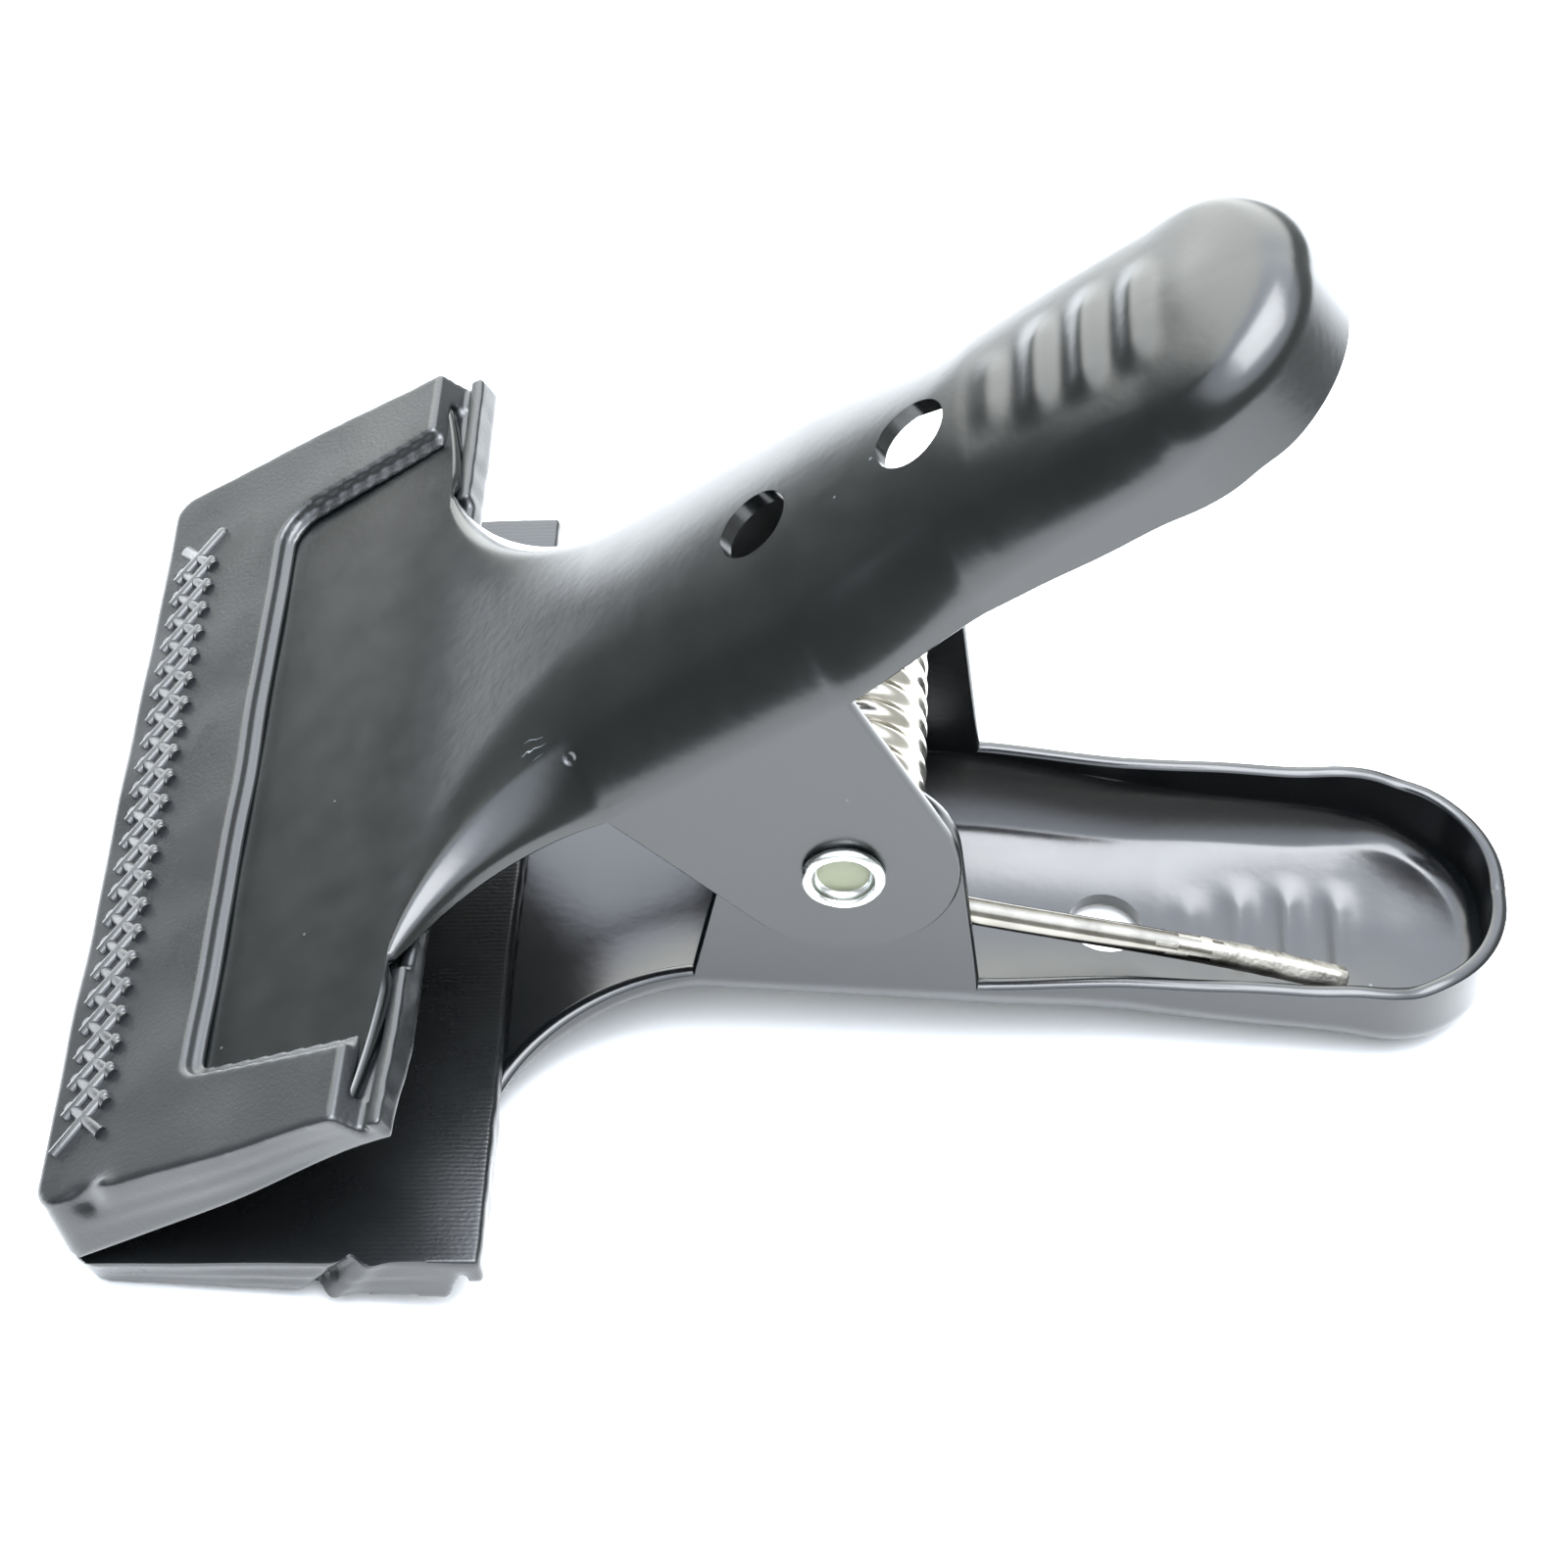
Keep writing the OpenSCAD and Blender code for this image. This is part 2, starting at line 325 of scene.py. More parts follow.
# %% Softbox
def lamp(name, place_at, aim_at, size, watts, colour):
    data = bpy.data.lights.new(name, "AREA")
    data.shape = "RECTANGLE"
    data.size, data.size_y = size
    data.energy = watts
    data.color = linear(colour)[:3]
    obj = bpy.data.objects.new(name, data)
    bpy.context.scene.collection.objects.link(obj)
    obj.location = place_at
    obj.rotation_euler = (Vector(aim_at) - Vector(place_at)).to_track_quat("-Z", "Y").to_euler()
    return obj


softbox = lamp("overhead_softbox", (0.1, 0.1, 1.7), (0, 0, 0), (1.4, 1.4), 50, "#fffefa")
print(softbox.name, softbox.data.energy, "watts")

# %% [markdown]
# ## Pressed levers
# The real lever is one sheet, blanked flat and then pressed in a die: a flat jaw plate, a
# neck that rounds up from it, two ears for the rivet and a deep crowned handle. It could be
# modelled with subdivision, but the die's shape is easier to say as a rule. So the outer
# skin is a grid: columns run from the middle of the back to the blank's outline, and rows
# step down over the crown, round the shoulder and down the wall. The height at each point
# comes from how far it is from the outline. The skin is then thickened by the sheet.

# %% Plan outline of one side of the blank
def outline(hw):
    """Outline points from the jaw plate's front to the middle of the handle's end.

    Each stretch has as many points as it needs to look round or to carry its detail.
    """
    cp, sp = math.cos(JAW_PITCH), math.sin(JAW_PITCH)
    front_x = -JAW_REACH + PLATE_FRONT * cp + PLATE_TOP * sp
    rear_x = -JAW_REACH + PLATE_REAR * cp + GRIP_T * sp
    kink = math.acos((NECK_BACK - EAR_HALF) / NECK_R)
    parts = [np.column_stack([np.linspace(front_x, rear_x, 20), np.full(20, PLATE_HW)])]
    kink_y = hw + NECK_R - NECK_R * math.sin(kink)
    t = np.linspace(0, 1, 10)[1:]
    bulge = 0.35 * np.sin(t * math.pi)
    parts.append(np.column_stack([rear_x + (-NECK_BACK - rear_x) * t + bulge,
                                  PLATE_HW + (kink_y - PLATE_HW) * t]))
    a = np.linspace(math.pi + kink, 1.5 * math.pi, 40)[1:]
    parts.append(np.column_stack([-EAR_HALF + NECK_R * np.cos(a),
                                  hw + NECK_R + NECK_R * np.sin(a)]))
    parts.append(np.column_stack([np.linspace(-EAR_HALF, EAR_HALF, 65)[1:], np.full(64, hw)]))
    t = np.linspace(0, 1, 18)[1:]
    t = (t + smooth(0, 1, t)) / 2
    parts.append(np.column_stack([np.linspace(EAR_HALF, TAPER_REACH, 18)[1:],
                                  hw + (HANDLE_HW - hw) * t]))
    corner_x = HANDLE_REACH - CORNER_R
    parts.append(np.column_stack([np.linspace(TAPER_REACH, corner_x, 46)[1:],
                                  np.full(45, HANDLE_HW)]))
    a = np.linspace(math.pi / 2, 0, 44)[1:]
    parts.append(np.column_stack([corner_x + CORNER_R * np.cos(a),
                                  HANDLE_HW - CORNER_R + CORNER_R * np.sin(a)]))
    parts.append(np.array([[HANDLE_REACH, 0.55], [HANDLE_REACH, 0.0]]))
    return np.vstack(parts)


print("outline points on one side:", len(outline(UPPER_HW)))

# %% Columns that fan out over the handle's end
END_X = HANDLE_REACH - HANDLE_HW
SPINE_END = HANDLE_REACH - 6.0
FAN_FROM = 38.0


def spine(path):
    """For each outline point, the x where its column meets the middle of the back."""
    x = path[:, 0].copy()
    run = run_along(path)
    start = np.searchsorted(x, FAN_FROM)
    share = (run[start:] - run[start]) / (run[-1] - run[start])
    x[start:] = x[start] + (SPINE_END - x[start]) * share
    return x


# %% Height of the pressed back over any point of the plan
BACK_SOFT = 0.35


def back_height(x):
    """Line of the back: the jaw plate, a shallow neck and the level handle."""
    plate = BEND_H + (-NECK_BACK - x) * math.tan(JAW_PITCH)
    neck = BEND_H + (x + NECK_BACK) * math.tan(FLOOR_SLOPE)
    bend = BACK_SOFT * np.logaddexp(0, (plate - neck) / BACK_SOFT)
    return np.minimum(neck + bend, HANDLE_H)


def rim_height(x):
    """The cut edge drops from the bend to the rim of the ears and handle."""
    drop = np.clip((x + NECK_BACK) / (NECK_BACK - EAR_HALF), 0, 1)
    return BEND_H + (RIM_H - BEND_H) * drop ** 0.6


def edge_distance(x, y, hw, path):
    """How far a plan point is from the blank's outline, and the half width there."""
    long_side = path[30:-45]  # from the neck's arc to the round corner of the handle's end
    side = np.interp(x, long_side[:, 0], long_side[:, 1])
    d = side - y
    flank = np.hypot(x + EAR_HALF, y - (hw + NECK_R)) - NECK_R
    d = np.where((x < -EAR_HALF) & (x > -NECK_BACK - 0.01), flank, d)
    end = path[path[:, 0] >= END_X]
    around = np.arctan2(end[:, 1], end[:, 0] - END_X)[::-1]
    reach = np.hypot(end[:, 1], end[:, 0] - END_X)[::-1]
    r = np.hypot(x - END_X, y)
    d = np.where(x > END_X, np.interp(np.arctan2(y, x - END_X), around, reach) - r, d)
    return np.maximum(d, 0), side


print("back over the ears:", round(float(back_height(0.0)), 2), "mm above the rivet")

# %% Thumb rest
DISH_X = (34.0, 45.0)
DISH_DEPTH = 0.22
RIBS = ((30.8, 3.6, 0.2), (35.1, 5.0, 0.3), (39.4, 5.4, 0.34), (43.7, 5.2, 0.32))
RIB_SPREAD = 1.4
HUMP_X = 48.4
HUMP_H = 0.3


def thumb_rest(x, y):
    """A shallow dish, with four ribs that have a place, half width and height each."""
    r = np.hypot(x - np.clip(x, *DISH_X), y * 0.95)
    dish = -DISH_DEPTH * smooth(9.5, 2.5, r)
    ribs = 0
    for rib_x, half, height in RIBS:
        across = smooth(half + 1.6, half - 2.2, np.abs(y))
        ribs = ribs + height * across * np.exp(-((x - rib_x) / RIB_SPREAD) ** 2)
    hump = HUMP_H * np.exp(-((x - HUMP_X) / 3.0) ** 2 - (y / 4.2) ** 2)
    return dish + ribs + hump


# %% Crown and shoulder
# Each of these is a size at the ears and then its changes along the handle, each eased in
# from one x to another. The crown is the fall from the middle of the back, the shoulder
# is the turn down into the wall, and the bevel is how much of the shoulder is straight.
CROWN = (3.2, (24, 42, -1.1), (43, 52, -1.1))
SHOULDER = (3.4, (34, 6, 1.5), (38, 50, -0.7))
BEVEL = (0.45, (40, 49, -0.3))
CROWN_POWER = 2.1
CROWN_MOST = 0.38
SHOULDER_MOST = 0.6
NECK_CROWN_W = 7.0
CREASE = 0.07


def eased(rule, x):
    """A size at the ears and its changes along the handle, at each x."""
    value = rule[0]
    for lo, hi, change in rule[1:]:
        value = value + change * smooth(lo, hi, x)
    return value


def skin_height(x, y, hw, path):
    """Height of the outer skin over a point of the plan, down to where the wall starts."""
    y = np.abs(y)
    back = back_height(x)
    depth = np.maximum(back - rim_height(x), 0.02)
    d, side = edge_distance(x, y, hw, path)
    ease = smooth(-NECK_BACK, -5.0, x)
    crown = np.minimum(eased(CROWN, x) * ease, CROWN_MOST * depth)
    wide = NECK_CROWN_W + (np.maximum(side, HANDLE_HW) - NECK_CROWN_W) * ease
    wide = np.where(x > END_X, HANDLE_HW, wide)
    shoulder = np.minimum(eased(SHOULDER, x), SHOULDER_MOST * depth)
    z = back - crown * np.clip(1 - d / wide, 0, 1) ** CROWN_POWER
    # The punch leaves a crease where the shoulder starts, softened by the sheet.
    near = 1 - d / np.maximum(shoulder, 1e-6)
    slope = CREASE * np.logaddexp(0, near / CREASE)
    near = np.clip(near, 0, 1)
    bevel = eased(BEVEL, x)
    z = z - shoulder * (bevel * slope
                        + (1 - bevel) * (1 - np.sqrt(np.maximum(1 - near ** 2, 0))))
    z = z + np.where(x > 20, thumb_rest(x, y), 0)
    return np.where(x < -NECK_BACK, back, z)


# %% The skin as one grid of points
ROWS = 54
EAR_ROWS = 26
RIM_WANDER = 0.1
RIM_DIP = (0.32, 43.5, 2.6)
RIM_RISE = (0.28, 49.0, 1.8)


def swelling(rule, x):
    """A bell-shaped rise with a size, a centre and a spread."""
    size, centre, spread = rule
    return size * np.exp(-((x - centre) / spread) ** 2)


def rim_wave(x, y):
    """The rim isn't trimmed after pressing, so it wanders where the sheet was drawn in."""
    wave = RIM_WANDER * np.sin(x * 0.42 + 0.6 * np.sign(y)) * smooth(26, 34, x)
    return wave + (swelling(RIM_DIP, x) - swelling(RIM_RISE, x))


def skin_column(plan, spine_x, side, hw, path):
    """One column of the skin, from the middle of the back to the rim."""
    px, py = plan
    v = 1 - (1 - np.linspace(0, 1, 500)) ** 2
    x, y = spine_x + (px - spine_x) * v, py * v
    z = skin_height(x, y, hw, path)
    rim = rim_height(px) - rim_wave(px, side * (py + 1e-6)) * (px > 20)
    if px > -NECK_BACK and z[-1] - rim > 0.02:
        wall = np.linspace(z[-1], rim, 60)[1:]
        x, y, z = np.r_[x, wall * 0 + px], np.r_[y, wall * 0 + py], np.r_[z, wall]
    steps = np.sqrt(np.diff(x) ** 2 + np.diff(y) ** 2 + np.diff(z) ** 2)
    run = np.r_[0, np.cumsum(steps)]
    at = np.linspace(0, run[-1], ROWS)
    return [(np.interp(a, run, x), side * np.interp(a, run, y), np.interp(a, run, z))
            for a in at]


def lever_skin(hw):
    path = outline(hw)
    middle = spine(path)
    points, faces = [], []
    column = {}
    for side in (1, -1):
        for i, (plan, spine_x) in enumerate(zip(path, middle)):
            column[side, i] = len(points)
            points += skin_column(plan, spine_x, side, hw, path)
        for i in range(len(path) - 1):
            a, b = column[side, i], column[side, i + 1]
            faces += [(a + k, a + k + 1, b + k + 1, b + k) for k in range(ROWS - 1)]
        ear_faces(points, faces, column, side, path, hw)
    return np.array(points), faces


# %% Ears
def ear_faces(points, faces, column, side, path, hw):
    """An ear hangs from the rim: straight sides that run into an arc about the pivot."""
    a0 = math.atan2(RIM_H, EAR_HALF) - math.acos(EAR_R / math.hypot(EAR_HALF, RIM_H))
    a = np.linspace(math.pi - a0, 2 * math.pi + a0, 90)
    edge = np.vstack([[(-EAR_HALF, RIM_H)],
                      np.column_stack([EAR_R * np.cos(a), EAR_R * np.sin(a)]),
                      [(EAR_HALF, RIM_H)]])
    run = run_along(edge)
    inside = [i for i in range(len(path)) if abs(path[i, 0]) <= EAR_HALF + 1e-6
              and path[i, 1] <= hw + 1e-6]
    last = None
    for n, i in enumerate(inside):
        share = n / (len(inside) - 1) * run[-1]
        end = np.array([np.interp(share, run, edge[:, 0]), side * hw,
                        np.interp(share, run, edge[:, 1])])
        rim_point = column[side, i] + ROWS - 1
        top = np.array(points[rim_point])
        down = [rim_point]
        for k in range(1, EAR_ROWS):
            points.append(tuple(top + (end - top) * k / (EAR_ROWS - 1)))
            down.append(len(points) - 1)
        if last:
            faces += [(last[k], last[k + 1], down[k + 1], down[k])
                      for k in range(EAR_ROWS - 1)]
        last = down


# %% Sheet thickness with a rolled-over cut edge
EDGE_STEPS = 4
EDGE_ROUND = 0.3


def thicken(name, obj, thickness, overhang):
    """Adds the inner face of the sheet and a rounded edge all the way round."""
    bm = bmesh.new()
    bm.from_mesh(obj.data)
    bm.verts.ensure_lookup_table()
    bm.normal_update()
    outer = [v.co.copy() for v in bm.verts]
    normal = [v.normal.copy() for v in bm.verts]
    count = len(outer)
    faces = [tuple(v.index for v in f.verts) for f in bm.faces]
    away = {}
    rim = []
    for e in bm.edges:
        if len(e.link_faces) != 1:
            continue
        face = e.link_faces[0]
        loop = next(l for l in face.loops if l.edge == e)
        a, b = loop.vert, loop.link_loop_next.vert
        out = (b.co - a.co).cross(face.normal).normalized()
        rim.append((a.index, b.index))
        for vert in (a, b):
            away[vert.index] = away.get(vert.index, Vector()) + out
    bm.free()
    points = outer + [p - n * thickness for p, n in zip(outer, normal)]
    everything = faces + [tuple(reversed([i + count for i in f])) for f in faces]
    ring = {}
    for i, out in away.items():
        out = out.normalized()
        ring[i] = [i]
        for k in range(1, EDGE_STEPS):
            turn_by = math.pi * k / EDGE_STEPS
            ring[i].append(len(points))
            points.append(outer[i] + out * overhang * math.sin(turn_by)
                          - normal[i] * thickness / 2 * (1 - math.cos(turn_by)))
        ring[i].append(i + count)
    for a, b in rim:
        everything += [(ring[b][k], ring[a][k], ring[a][k + 1], ring[b][k + 1])
                       for k in range(EDGE_STEPS)]
    return mesh_object(name, points, everything)


# %% Punch the holes
BORE_R = 2.65


def cutter(name, centre, axis, radius, length):
    bm = bmesh.new()
    bmesh.ops.create_cone(bm, cap_ends=True, segments=56, radius1=radius, radius2=radius,
                          depth=length)
    mesh = bpy.data.meshes.new(name)
    bm.to_mesh(mesh)
    bm.free()
    obj = bpy.data.objects.new(name, mesh)
    bpy.context.scene.collection.objects.link(obj)
    turn_to = Vector(axis).to_track_quat("Z", "Y").to_matrix().to_4x4()
    obj.matrix_world = Matrix.Translation(centre) @ turn_to
    return obj


def cut(obj, tools):
    for tool in tools:
        modifier = obj.modifiers.new("cut", "BOOLEAN")
        modifier.operation = "DIFFERENCE"
        modifier.solver = "EXACT"
        modifier.object = tool
        bpy.context.view_layer.update()
    apply_modifiers(obj)
    for tool in tools:
        bpy.data.objects.remove(tool)
    return obj


# %% Press both levers
def press_lever(side, hw):
    points, faces = lever_skin(hw)
    skin = clean(mesh_object("skin", points, faces), 0.004)
    on_back = max(skin.data.polygons,
                  key=lambda f: f.center.z - abs(f.center.y) - abs(f.center.x))
    if on_back.normal.z < 0:
        skin.data.flip_normals()
    lever = thicken(f"{side}_pressed_lever", skin, SHEET, EDGE_ROUND)
    bpy.data.objects.remove(skin)
    move_points(lever, place(points_of(lever), side))
    if side == "lower":
        lever.data.flip_normals()
    tools = [cutter("rivet_bore", PIVOT * MM, (0, 1, 0), BORE_R * MM, 60 * MM)]
    for end in ("front", "rear"):
        hole = mounts[f"{side}_handle_{end}_hole"]
        tools.append(cutter("handle_hole", Vector(hole["pos_m"]), hole["axis"],
                            hole["dims"]["r_mm"] * MM, 8 * MM))
    cut(lever, tools)
    shade_smooth(lever, 40)
    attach(lever, side)
    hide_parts(f"{side}_lever")
    print(lever.name, len(lever.data.polygons), "faces")
    return lever


upper_lever = press_lever("upper", UPPER_HW)
lower_lever = press_lever("lower", LOWER_HW)

# %% [markdown]
# ## Moulded rubber pads
# Each pad is one rubber moulding, pulled over the jaw plate like a sock: a gripping layer
# below, a wall round the front and sides, and a frame on top with a window that shows the
# paint. Rubber has no truly sharp edges, thin flash is left where the mould closed, and a
# soft pad picks up dents. Plain slabs are stacked and voxel remeshed into one skin, which
# joins them and rounds every edge, and then its points are pushed about like clay.

# %% Pad sizes, in millimetres
PAD_HW = 42.5
PAD_T = 5.0
FRONT_STRIP = 13.7
WALL_END = 31.0
TRAY_END = 33.0
TRAY_T = 1.5
LIP_FROM = 31.75
LIPS = ((-PAD_HW, -26.5, 2.75), (-26.6, 26.6, 2.0), (26.5, PAD_HW, 2.75))
TAPER = 2.1
FRONT_LEAN = 0.35
PAD_CORNER_R = 2.4
VOXEL = 0.3


def arc(centre, radius, start, end, steps=7):
    a = np.radians(np.linspace(start, end, steps))
    return [(centre[0] + radius * math.cos(t), centre[1] + radius * math.sin(t)) for t in a]


def outer_path(n, rear):
    """Outside of the pad at height n, from its near rear corner round the front."""
    front, wide = FRONT_LEAN * n / PAD_T, PAD_HW - TAPER * n / PAD_T
    r = PAD_CORNER_R
    return ([(rear, -PAD_HW)] + arc((front + r, -wide + r), r, -90, -180)
            + arc((front + r, wide - r), r, 180, 90) + [(rear, PAD_HW)])


def inner_path(front, front_w, rear_w, rear, near_r, far_r):
    return ([(rear, -rear_w)] + arc((front + near_r, -front_w + near_r), near_r, -90, -180, 5)
            + arc((front + far_r, front_w - far_r), far_r, 180, 90, 7) + [(rear, rear_w)])


def prism(points, faces, low, low_n, high, high_n):
    """A slab between two outlines with the same number of corners."""
    start, count = len(points), len(low)
    points += [(s, y, low_n) for s, y in low] + [(s, y, high_n) for s, y in high]
    faces.append(tuple(range(start, start + count)))
    faces.append(tuple(reversed(range(start + count, start + 2 * count))))
    for i in range(count):
        j = (i + 1) % count
        faces.append((start + i, start + i + count, start + j + count, start + j))


# %% Stack the slabs
# Each layer over the gripping one is a frame: its bottom and top height, and its
# opening's front, half width in front and at the rear, and near and far corner radii.
# The layers overlap by a hair, so the remesh joins them.
LAYERS = (
    (GRIP_T - 0.02, PLATE_TOP, 3.0, 39.4, 39.5, 0.4, 0.4),
    (PLATE_TOP - 0.02, PLATE_TOP + 0.5, FRONT_STRIP + 1.1, 31.1, 33.6, 0.8, 2.8),
    (PLATE_TOP + 0.48, PAD_T, FRONT_STRIP + 0.3, 32.3, 34.8, 1.6, 3.9))


def pad_slabs():
    points, faces = [], []
    prism(points, faces, outer_path(0, 31.6), 0, outer_path(GRIP_T, WALL_END), GRIP_T)
    for low_n, high_n, *opening, near_r, far_r in LAYERS:
        front, front_w, rear_w = opening
        rings = []
        for n in (low_n, high_n):
            rear = WALL_END - 1.1 * (n - GRIP_T) / (PAD_T - GRIP_T)
            hole = inner_path(front, front_w, rear_w, rear, near_r, far_r)
            rings.append(outer_path(n, rear) + hole[::-1])
        prism(points, faces, rings[0], low_n, rings[1], high_n)
    tray = [(30.5, -PAD_HW), (TRAY_END, -PAD_HW), (TRAY_END, PAD_HW), (30.5, PAD_HW)]
    prism(points, faces, tray, 0, tray, TRAY_T)
    for a, b, top in LIPS:
        lip = [(LIP_FROM, a), (TRAY_END, a), (TRAY_END, b), (LIP_FROM, b)]
        prism(points, faces, lip, 0, lip, top)
    return points, faces


# %% Push the rubber about
def hills(points, size, seed):
    """Smooth random hills, from a few sine waves in fixed random directions."""
    rng = np.random.default_rng(seed)
    total = np.zeros(len(points))
    for _ in range(9):
        wave = rng.normal(size=3)
        wave *= 2 * math.pi / size / np.linalg.norm(wave) * rng.uniform(0.6, 1.5)
        total += np.sin(points @ wave + rng.uniform(0, 2 * math.pi))
    return total / 3


def dent(points, at, radius):
    return np.exp(-(((points - np.array(at)) / np.array(radius)) ** 2).sum(1))


def knead(points, side):
    """Moves points a little: ragged flash, slow waves, a pinched corner or a folded wall."""
    p = points.copy()
    seed = 11 if side == "upper" else 23
    s, y, n = points.T
    rear = smooth(31.9, TRAY_END, s)
    p[:, 0] += rear * (0.03 * hills(points, 3.2, seed) + 0.25 * np.maximum(
        hills(points * [0, 1, 0.3], 4.0, seed + 1) - 1.5, 0))
    p[:, 0] += 0.10 * hills(points, 26, seed + 2)
    p[:, 2] += 0.06 * hills(points, 14, seed + 3) * smooth(0, 5, n)
    p[:, 1] += 0.12 * hills(points, 17, seed + 4) * smooth(30, 42, np.abs(y))
    if side == "upper":
        lift = 1.1 * smooth(6, 32, s) * smooth(-32, -42.5, y)
        p[:, 2] += lift * (1 - n / PAD_T)
        pinch = dent(points, (5.4, -41.6, 4.9), (1.5, 1.1, 1.3))
        p[:, 2] -= 1.1 * pinch
        p[:, 1] += 0.7 * pinch
        p[:, 2] += 0.35 * dent(points, (7.4, -41.0, 4.9), (1.2, 1.0, 1.2))
    else:
        line = (s - (22.8 - 0.75 * n)) / 0.75
        wall = smooth(-40.2, -42.0, y)
        p[:, 1] += 1.5 * np.exp(-line ** 2) * wall * (0.55 + 0.45 * smooth(0, 4, n))
        p[:, 1] -= 0.35 * np.exp(-((line - 2.2) / 1.3) ** 2) * wall
        p[:, 2] += 0.4 * np.exp(-((line - 1.6) / 1.2) ** 2) * wall * smooth(3, 5, n)
    return p


def mould_pad(side):
    points, faces = pad_slabs()
    pad = mesh_object(f"{side}_rubber_pad", points, faces)
    clean(pad, 1e-6)
    remesh = pad.modifiers.new("skin", "REMESH")
    remesh.mode = "VOXEL"
    remesh.voxel_size = VOXEL
    soften = pad.modifiers.new("soften", "SMOOTH")
    soften.factor, soften.iterations = 0.5, 2
    bpy.context.view_layer.update()
    apply_modifiers(pad)
    flat = points_of(pad)
    grip = [f.index for f in pad.data.polygons if f.normal.z < -0.9 and f.center.z < 0.6]
    move_points(pad, place(jaw_to_lever(knead(flat, side)), side))
    if side == "lower":
        pad.data.flip_normals()
    shade_smooth(pad, 60)
    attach(pad, side)
    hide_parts(f"{side}_jaw_pad")
    print(pad.name, len(pad.data.polygons), "faces")
    return pad, grip


upper_pad, upper_grip = mould_pad("upper")
lower_pad, lower_grip = mould_pad("lower")

# %% [markdown]
# ## Raised lattice along the front strip
# A band of crossing ridges is moulded just behind the front edge, so that fingers don't
# slip. Every ridge is a rounded bar, and the two at each end run free in a V. A bump map
# would look flat from the side, so they are real bars that start just below the rubber,
# and the bars of one pad are one object that rides with it.

# %% Lattice of ridges
LATTICE_CELLS = 23
LATTICE_Y = (-32.9, 30.9)
LATTICE_S = 4.2
RIDGE_W = 1.3
RIDGE_SUNK = 0.12
RIDGE_SIDES = 12
RIDGE_S, RIDGE_Y = 2.1, 2.15
END_LONGER = 1.25
BAND_DRIFT = 0.35


def ridge(points, faces, a, b, height):
    """One bar from a to b, with a flat top, a blunt start and a rounded end."""
    a, b = np.array(a, float), np.array(b, float)
    length = np.linalg.norm(b - a)
    along = (b - a) / length
    across = np.array([-along[1], along[0]])
    half = RIDGE_W / 2
    cap = np.sin(np.linspace(-math.pi / 2, math.pi / 2, 9))
    stations = [(0.0, c) for c in cap[1:4]] + [(length + half * (c - 1), c) for c in cap[5:8]]
    first = len(points)
    for t, c in stations:
        r = math.sqrt(1 - c * c)
        for k in range(RIDGE_SIDES):
            phi = 2 * math.pi * k / RIDGE_SIDES
            s, y = a + along * t + across * half * r * math.cos(phi)
            rise = height * r * max(math.sin(phi), 0.0) ** 0.6
            points.append((s, y, PAD_T - RIDGE_SUNK + rise))
    faces += tube_faces(first, len(stations), RIDGE_SIDES)
    last = first + (len(stations) - 1) * RIDGE_SIDES
    faces.append(tuple(first + k for k in reversed(range(RIDGE_SIDES))))
    faces.append(tuple(last + k for k in range(RIDGE_SIDES)))


def lattice(side, height):
    points, faces = [], []
    span = LATTICE_Y[1] - LATTICE_Y[0]
    for i in range(LATTICE_CELLS):
        y = LATTICE_Y[0] + span / (LATTICE_CELLS - 1) * i
        s = LATTICE_S + BAND_DRIFT * (y - LATTICE_Y[0]) / span
        near = END_LONGER if i == 0 else 1.0
        far = END_LONGER if i == LATTICE_CELLS - 1 else 1.0
        ridge(points, faces, (s - RIDGE_S * near, y - RIDGE_Y * near),
              (s + RIDGE_S * far, y + RIDGE_Y * far), height)
        ridge(points, faces, (s + RIDGE_S, y - RIDGE_Y), (s - RIDGE_S, y + RIDGE_Y),
              height * 0.94)
    made = clean(mesh_object(f"{side}_pad_lattice", points, faces), 1e-6)
    p = points_of(made)
    p[:, 2] += 0.06 * hills(p * [1, 1, 0] + [0, 0, PAD_T], 14, 14 if side == "upper" else 26)
    move_points(made, place(jaw_to_lever(p), side))
    if side == "lower":
        made.data.flip_normals()
    shade_smooth(made, 70)
    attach(made, side)
    print(made.name, len(made.data.polygons), "faces")
    return made


upper_lattice = lattice("upper", 0.66)
lower_lattice = lattice("lower", 0.3)

# %% [markdown]
# ## Wound spring
# Hard-drawn wire is wound close on a mandrel, and its two legs are left nearly straight.
# A curve with a bevel would do, but the sheared ends and the scuffed leg want points to
# push, so the wire is swept here as a tube. It is wound for the levers as they lie: the
# turns between the two legs share the angle between them, which is what a real torsion spring
# does.

# %% Wire path
WIRE_D = 2.3
COIL_R = 5.35
COIL_HW = 11.249
SWEEP = math.radians(3346.74)
LEG_REACH = 43.0
LEG_H = HANDLE_H - SHEET - 3.0 - WIRE_D / 2
LEG_Y = 9.05
LEG_BOW = 1.3
LEG_IN = 0.5
LEG_DROP = 0.4
LEG_STEPS = 45
TURN_STEPS = 44


